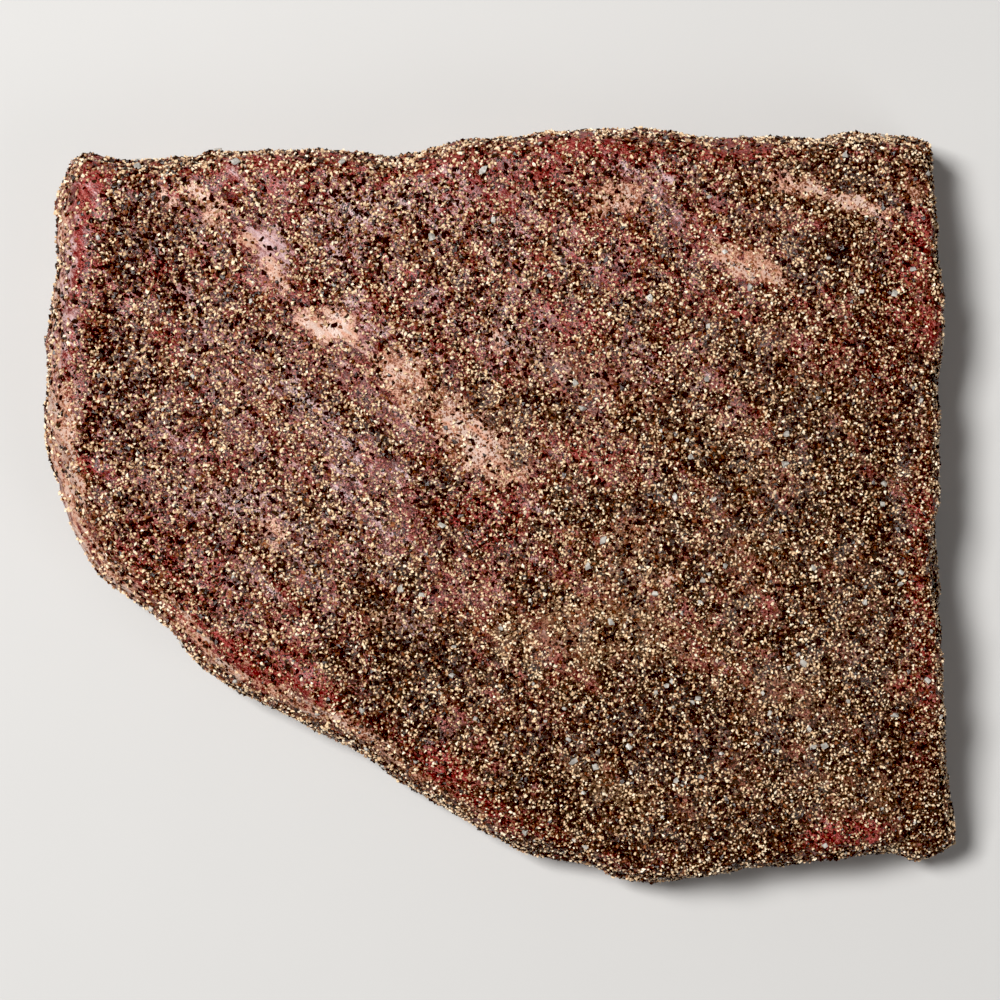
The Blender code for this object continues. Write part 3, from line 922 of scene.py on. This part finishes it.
def rim_reading(points, side, outline, place, width, strength):
    """How fat the rim is at each point, its band along the edge alone, and the sides below the band."""
    nearest, inside = edge_reading(points, outline)
    along_edge = np.column_stack((nearest * OUTLINE_STEP / 16, inside, points[:, 2]))
    layers = plain_noise(along_edge + 70, 1.7)
    upper = np.clip((points[:, 2] / THICKNESS - 0.30) / 0.12, 0, 1)
    spread = (inside - place[nearest] + 2.0 * plain_noise(points + 3, 8)) / width[nearest]
    fade = np.clip(-points[:, 0] / 55, 0.2, 1)
    band = strength[nearest] * fade * np.exp(-(spread**2)) * upper
    lower_side = side * (1 - upper)
    rim = np.clip(band * (0.75 + 1.3 * layers) + lower_side * (0.42 + 1.5 * layers), 0, 1)
    return rim, band, lower_side


def paint_zones(mesh, outline, folds, strands, *rim_shape):
    """Stores the zones, how thickly the rub lies and the share of each pepper as attributes of the mesh."""
    points = vertex_array(mesh)
    x, y, height = points.T
    facing = np.clip(normal_array(mesh)[:, 2], -1, 1)
    side = np.clip(1.25 - 2.0 * np.abs(facing), 0, 1)
    under = np.clip(-2.5 * facing - 0.8, 0, 1)
    fields, bare = zone_fields(points)
    rim, band, lower_side = rim_reading(points, side, outline, *rim_shape)
    fields["fat"] = np.maximum(np.maximum(fields["fat"], rim), under * 0.8)
    fields["fresh"] = np.clip(fields["fresh"] + lower_side * 0.35 + 0.25 * band, 0, 1)

    # Silverskin shows on the ridges, most of all at the upper left; its pale film there is partly painted
    # light, where the ridges would catch the light.
    ridges = np.clip(1.5 * strands + 0.9 * folds - 0.12, 0, 1) * (1 - side)
    skin_and_light = np.clip(0.75 - 0.0035 * x + 0.0035 * y, 0.15, 1)
    fields["haze"] = np.clip(fields["haze"] + 0.52 * ridges * skin_and_light, 0, 1)

    # The rub collects in the hollows and is thicker and drier towards the lower right.
    patchy = 0.28 * noise_array(points + 5, 10, 1.8) + 0.50 * noise_array(points + 17, 3.6, 1.5)
    patchy -= (0.42 * folds + 0.36 * strands) * (1 - side)
    fall = 0.92 + 0.0008 * x - 0.0006 * y
    cover = np.clip(fall + patchy + 0.25 * fields["husk"], 0.28, 1) * (1 - bare)
    cover *= 1 - np.clip(0.50 * band + lower_side * (0.3 + 0.5 * rim), 0, 0.8)
    cover[(facing < -0.6) | (height < 0.4)] = 0
    thick = 0.88 + 0.0022 * x - 0.0020 * y
    dry = np.clip((thick + 0.5 * patchy - 0.80) / 0.22 + 0.6 * fields["husk"], 0, 1) * (1 - fields["fresh"])

    # Grains of one kind lie in loose clumps. Each kind takes its share of one draw, up to its limit.
    clump = plain_noise(points + 61, 6)
    breadth = np.clip(0.95 - 0.0006 * x + 0.0005 * y + 0.12 * clump, 0.80, 1.15)
    husk_to = 0.31 + 0.20 * fields["husk"] + 0.24 * clump - 0.12 * fields["fat"] - 0.22 * folds + 0.03 * dry
    rust_to = husk_to + 0.15 + 0.16 * fields["fat"] - 0.04 * dry
    tan_to = rust_to + 0.20 - 0.02 * dry
    fields.update(cover=cover, dry=dry, breadth=breadth, husk_to=husk_to, rust_to=rust_to, tan_to=tan_to)
    for name, values in fields.items():
        set_attribute(mesh, name, values)


def chip_shapes(name, count, rings, crown, flatness, seed):
    """A hidden collection of broken chips: the hull of two uneven rings of corners, one on the other.

    The crown is how far the upper ring reaches out.
    """
    draw = random.Random(seed)
    shapes = bpy.data.collections.new(name)
    for i in range(count):
        work = bmesh.new()
        core = work.verts.layers.float.new("core")
        narrow = draw.uniform(0.58, 0.95)
        for corners, level, reach in ((rings[0], -0.30, 0.56), (rings[1], 0.30, crown)):
            start = draw.uniform(0, math.tau)
            for corner in range(corners):
                angle = start + (corner + draw.uniform(-0.28, 0.28)) * math.tau / corners
                out = reach * draw.uniform(0.66, 1.2)
                height = flatness * (level + draw.uniform(-0.16, 0.16))
                corner_point = work.verts.new((out * math.cos(angle), narrow * out * math.sin(angle), height))
                # The upper ring is marked as the core; the finishes paint the grain lighter there and darker
                # on its lower sides, partly as painted shade.
                corner_point[core] = float(level > 0)
        hull = bmesh.ops.convex_hull(work, input=work.verts)
        bmesh.ops.delete(work, geom=hull["geom_interior"], context="VERTS")
        bmesh.ops.triangulate(work, faces=work.faces)
        mesh = bpy.data.meshes.new(f"{name}_{i}")
        work.to_mesh(mesh)
        work.free()
        shapes.objects.link(bpy.data.objects.new(f"{name}_{i}", mesh))
    return shapes


def scatter_tree():
    """Geometry nodes that lay one kind of grain on the meat, where its share of the draw says."""
    tree = bpy.data.node_groups.new("scatter_rub", "GeometryNodeTree")
    face = tree.interface
    face.new_socket("Geometry", in_out="INPUT", socket_type="NodeSocketGeometry")
    for name, kind in (
        ("Shapes", "NodeSocketCollection"), ("Finish", "NodeSocketMaterial"), ("Spacing", "NodeSocketFloat"),
        ("Crowding", "NodeSocketFloat"), ("Smallest", "NodeSocketFloat"), ("Biggest", "NodeSocketFloat"),
        ("Lift", "NodeSocketFloat"), ("Lean", "NodeSocketFloat"), ("From", "NodeSocketString"),
        ("To", "NodeSocketString"), ("Seed", "NodeSocketInt"),
    ):
        face.new_socket(name, in_out="INPUT", socket_type=kind)
    face.new_socket("Geometry", in_out="OUTPUT", socket_type="NodeSocketGeometry")
    graph = Graph(tree)
    given = graph.node("NodeGroupInput", output="Geometry")

    def setting(name):
        return graph.other_output(given, name)

    def named(name):
        kind = "GeometryNodeInputNamedAttribute"
        return graph.node(kind, {"data_type": "FLOAT"}, {"Name": name}, "Attribute")

    def random_value(low, high, step, kind="FLOAT"):
        suffix = {"FLOAT_VECTOR": "", "FLOAT": "_001", "INT": "_002"}[kind]
        sockets = {"Min" + suffix: low, "Max" + suffix: high, "Seed": setting("Seed") + step}
        return graph.node("FunctionNodeRandomValue", {"data_type": kind}, sockets, "Value" + suffix)

    points = graph.node(
        "GeometryNodeDistributePointsOnFaces", {"distribute_method": "POISSON"},
        {"Mesh": given, "Distance Min": setting("Spacing"), "Density Max": setting("Crowding"),
         "Density Factor": named("cover"), "Seed": setting("Seed")}, "Points")
    facing = graph.other_output(points, "Rotation")
    drawn = random_value(0.0, 1.0, 1)
    kept = drawn.above(named(setting("From"))) * drawn.below(named(setting("To")))
    chosen = graph.node("GeometryNodeSeparateGeometry", {"domain": "POINT"},
                        {"Geometry": points, "Selection": kept}, "Selection")
    lean = setting("Lean")
    turn = graph.node("ShaderNodeCombineXYZ", {}, {"X": lean, "Y": lean, "Z": math.pi})
    back = graph.node("ShaderNodeVectorMath", {"operation": "SCALE"}, {"Vector": turn, "Scale": -1.0})
    spin = random_value(back, turn, 2, "FLOAT_VECTOR")
    turned = graph.node("FunctionNodeRotateRotation", {"rotation_space": "LOCAL"},
                        {"Rotation": facing, "Rotate By": spin})
    size = random_value(setting("Smallest"), setting("Biggest"), 3) * named("breadth")
    shapes = graph.node("GeometryNodeCollectionInfo", {},
                        {"Collection": setting("Shapes"), "Separate Children": True, "Reset Children": True})
    laid = graph.node(
        "GeometryNodeInstanceOnPoints", {},
        {"Points": chosen, "Instance": shapes, "Pick Instance": True,
         "Instance Index": random_value(0, 99, 4, "INT"), "Rotation": turned, "Scale": size})
    height = graph.node("ShaderNodeCombineXYZ", {}, {"Z": setting("Lift") * size})
    lifted = graph.node("GeometryNodeTranslateInstances", {}, {"Instances": laid, "Translation": height})
    tinted = graph.node(
        "GeometryNodeStoreNamedAttribute", {"data_type": "FLOAT", "domain": "INSTANCE"},
        {"Geometry": lifted, "Name": "tint", "Value": random_value(0.0, 1.0, 5)})
    real = graph.node("GeometryNodeRealizeInstances", {}, {"Geometry": tinted})
    here = graph.node("GeometryNodeInputPosition")
    deep = graph.node("ShaderNodeSeparateXYZ", {}, {"Vector": here}, "Z")
    raised = deep.math("MAXIMUM", deep, 0.0) - deep
    settled = graph.node(
        "GeometryNodeSetPosition", {},
        {"Geometry": real, "Offset": graph.node("ShaderNodeCombineXYZ", {}, {"Z": raised})})
    dressed = graph.node("GeometryNodeSetMaterial", {}, {"Geometry": settled, "Material": setting("Finish")})
    graph.node("NodeGroupOutput", {}, {"Geometry": dressed})
    return tree


def scattered(name, host, tree, keeps=(), **settings):
    """Lays one kind of grain on the host and returns it as a plain mesh."""
    holder = linked(name, host.data)
    modifier = holder.modifiers.new("scatter", "NODES")
    modifier.node_group = tree
    for socket in tree.interface.items_tree:
        if socket.in_out == "INPUT" and socket.name in settings:
            modifier[socket.identifier] = settings[socket.name]
    mesh = evaluated_mesh(holder)
    holder.modifiers.clear()
    for reading in MEAT_READINGS:
        if reading in mesh.attributes and reading not in keeps:
            mesh.attributes.remove(mesh.attributes[reading])
    holder.data = mesh
    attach(holder, BODY)
    return holder


class BRISKET_OT_meat(bpy.types.Operator):
    """Model the slab of meat and finish it"""

    bl_idname = "brisket.meat"
    bl_label = "Make the meat"

    def execute(self, context):
        meat = context.scene.brisket_meat
        outline, shoulders, *rim = outline_readings()
        slab = outline_block(outline)
        remeshed(slab, BLOCK_VOXEL * MM)
        shape_slab(slab.data, outline, shoulders)
        remeshed(slab, meat.voxel)
        folds, strands = raise_relief(slab.data, meat, outline)
        points = vertex_array(slab.data)
        points[:, :2] -= ((points.min(0) + points.max(0)) / 2)[:2]
        set_vertices(slab.data, points)
        paint_zones(slab.data, outline, folds, strands, *rim)
        for name, value in (("none", -1.0), ("all", 2.0)):
            set_attribute(slab.data, name, np.full(len(points), value))
        salty = np.exp(-oval(points[:, 0], points[:, 1], 60, -50, 75, 55, -10))
        set_attribute(slab.data, "salty", 0.006 + 0.036 * salty)
        slab.data.shade_smooth()
        slab.data.materials.clear()
        slab.data.materials.append(raw_meat(meat))
        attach(slab, BODY)
        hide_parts(NODE)
        return {"FINISHED"}


class BRISKET_OT_pepper(bpy.types.Operator):
    """Scatter the cracked pepper, each kind as one mesh"""

    bl_idname = "brisket.pepper"
    bl_label = "Scatter the pepper"

    def execute(self, context):
        rub = context.scene.brisket_rub
        host = bpy.data.objects["meat"]
        tree = scatter_tree()
        chunky = chip_shapes("chunky_chip", 12, (4, 3), 0.32, 1.15, 3)
        flaky = chip_shapes("flaky_chip", 12, (4, 3), 0.42, 0.75, 4)
        husk, rust, tan, cream = (opaque(tone) for tone in (rub.husk, rub.rust, rub.tan, rub.cream))
        kinds = (
            ("pepper_husk", flaky, "none", "husk_to", 0.7, 1.75, 0.17,
             (husk, husk, husk, GREY_SKIN, 0.34, 0.3)),
            ("pepper_rust", flaky, "husk_to", "rust_to", 0.65, 1.35, 0.12,
             (rust, husk, husk, SOAKED_ORANGE, 0.34, 0.35)),
            ("pepper_tan", chunky, "rust_to", "tan_to", 0.65, 1.35, 0.20,
             (tan, husk, rust, cream, 0.35, 0.45)),
            ("pepper_cream", chunky, "tan_to", "all", 0.72, 1.42, 0.28,
             (cream, rust, tan, PALE_CORE, 0.35, 0.5)),
        )
        for name, shapes, start, end, small, big, lift, tones in kinds:
            grains = scattered(
                name, host, tree, Shapes=shapes, Finish=pepper_finish(name, *tones),
                Spacing=rub.spacing, Crowding=GRAIN_CROWDING, Smallest=small * rub.grain,
                Biggest=big * rub.grain, Lift=lift, Lean=0.6, From=start, To=end, Seed=rub.seed)
        crumbs = scattered(
            "pepper_crumbs", host, tree, keeps=("fat",), Shapes=chip_shapes("crumb", 6, (3, 1), 0.3, 1.0, 6),
            Finish=crumb_finish(rub), Spacing=rub.crumb_spacing, Crowding=CRUMB_CROWDING,
            Smallest=0.45 * MM, Biggest=0.85 * MM, Lift=0.10, Lean=0.7, From="none", To="all",
            Seed=rub.seed + 20)
        return {"FINISHED"}


class BRISKET_OT_salt(bpy.types.Operator):
    """Scatter the coarse salt"""

    bl_idname = "brisket.salt"
    bl_label = "Scatter the salt"

    def execute(self, context):
        rub = context.scene.brisket_rub
        host = bpy.data.objects["meat"]
        crystals = chip_shapes("salt_crystal", 9, (5, 4), 0.40, 0.9, 5)
        salt = scattered(
            "salt_crystals", host, bpy.data.node_groups["scatter_rub"], Shapes=crystals,
            Finish=salt_finish(rub), Spacing=rub.salt_spacing, Crowding=SALT_CROWDING,
            Smallest=1.3 * MM, Biggest=3.2 * MM, Lift=0.30, Lean=0.35, From="none", To="salty",
            Seed=rub.seed + 40)
        return {"FINISHED"}


class BRISKET_OT_stage(bpy.types.Operator):
    """Lay the floor, and set the lights and the camera"""

    bl_idname = "brisket.stage"
    bl_label = "Set the stage"

    def execute(self, context):
        scene = context.scene
        stage = scene.brisket_stage
        work = bmesh.new()
        bmesh.ops.create_grid(work, x_segments=1, y_segments=1, size=FLOOR_SIDE / 2)
        floor_mesh = bpy.data.meshes.new("floor")
        work.to_mesh(floor_mesh)
        work.free()
        floor_mesh.materials.append(floor_finish(stage))
        linked("floor", floor_mesh)

        camera_data = bpy.data.cameras.new("camera")
        camera_data.lens = stage.lens
        camera_data.clip_start = NEAREST_SEEN
        camera = linked("camera", camera_data)
        width = PHOTO_SIDE * PIXEL_LENGTH * MM
        lift = (PHOTO_CENTRE_ROW - PHOTO_SIDE / 2) * PIXEL_LENGTH * MM
        sight = width * stage.lens / camera_data.sensor_width
        camera.location = (0, lift, sight + SCALE_HEIGHT * THICKNESS * MM)
        scene.camera = camera

        for name, (place, side), power in (
            ("softbox", SOFTBOX, stage.key_power), ("fill", FILL, stage.fill_power),
        ):
            data = bpy.data.lights.new(name, "AREA")
            data.size = side
            data.energy = power
            lamp = linked(name, data)
            lamp.location = place
            lamp.rotation_euler = (-Vector(place)).to_track_quat("-Z", "Y").to_euler()

        world = bpy.data.worlds.new("studio")
        world.use_nodes = True
        sky = world.node_tree.nodes["Background"].inputs
        sky["Color"].default_value = (1, 1, 1, 1)
        sky["Strength"].default_value = stage.sky
        scene.world = world
        scene.view_settings.view_transform = "Standard"
        scene.view_settings.use_curve_mapping = True
        scene.view_settings.curve_mapping.black_level = BLACK_LEVEL
        scene.view_settings.curve_mapping.update()
        return {"FINISHED"}


class BRISKET_PT_panel(bpy.types.Panel):
    """The brisket's pieces, in the order in which they are made"""

    bl_idname = "BRISKET_PT_panel"
    bl_label = "Peppered brisket"
    bl_space_type = "VIEW_3D"
    bl_region_type = "UI"
    bl_category = "Brisket"

    def draw(self, context):
        column = self.layout.column()
        for operator in OPERATORS:
            column.operator(operator.bl_idname)
        for settings in (context.scene.brisket_meat, context.scene.brisket_rub, context.scene.brisket_stage):
            for name in settings.bl_rna.properties.keys():
                if name not in ("rna_type", "name"):
                    column.prop(settings, name)


OPERATORS = (BRISKET_OT_meat, BRISKET_OT_pepper, BRISKET_OT_salt, BRISKET_OT_stage)
SETTINGS = {"brisket_meat": MeatSettings, "brisket_rub": RubSettings, "brisket_stage": StageSettings}


def register():
    for group in SETTINGS.values():
        bpy.utils.register_class(group)
    for name, group in SETTINGS.items():
        setattr(bpy.types.Scene, name, PointerProperty(type=group))
    for made in (*OPERATORS, BRISKET_PT_panel):
        bpy.utils.register_class(made)


def unregister():
    for made in (BRISKET_PT_panel, *reversed(OPERATORS)):
        bpy.utils.unregister_class(made)
    for name in SETTINGS:
        delattr(bpy.types.Scene, name)
    for group in SETTINGS.values():
        bpy.utils.unregister_class(group)


def main():
    register()
    bpy.ops.brisket.stage()
    bpy.ops.brisket.meat()
    bpy.ops.brisket.pepper()
    bpy.ops.brisket.salt()


if __name__ == "__main__":
    main()
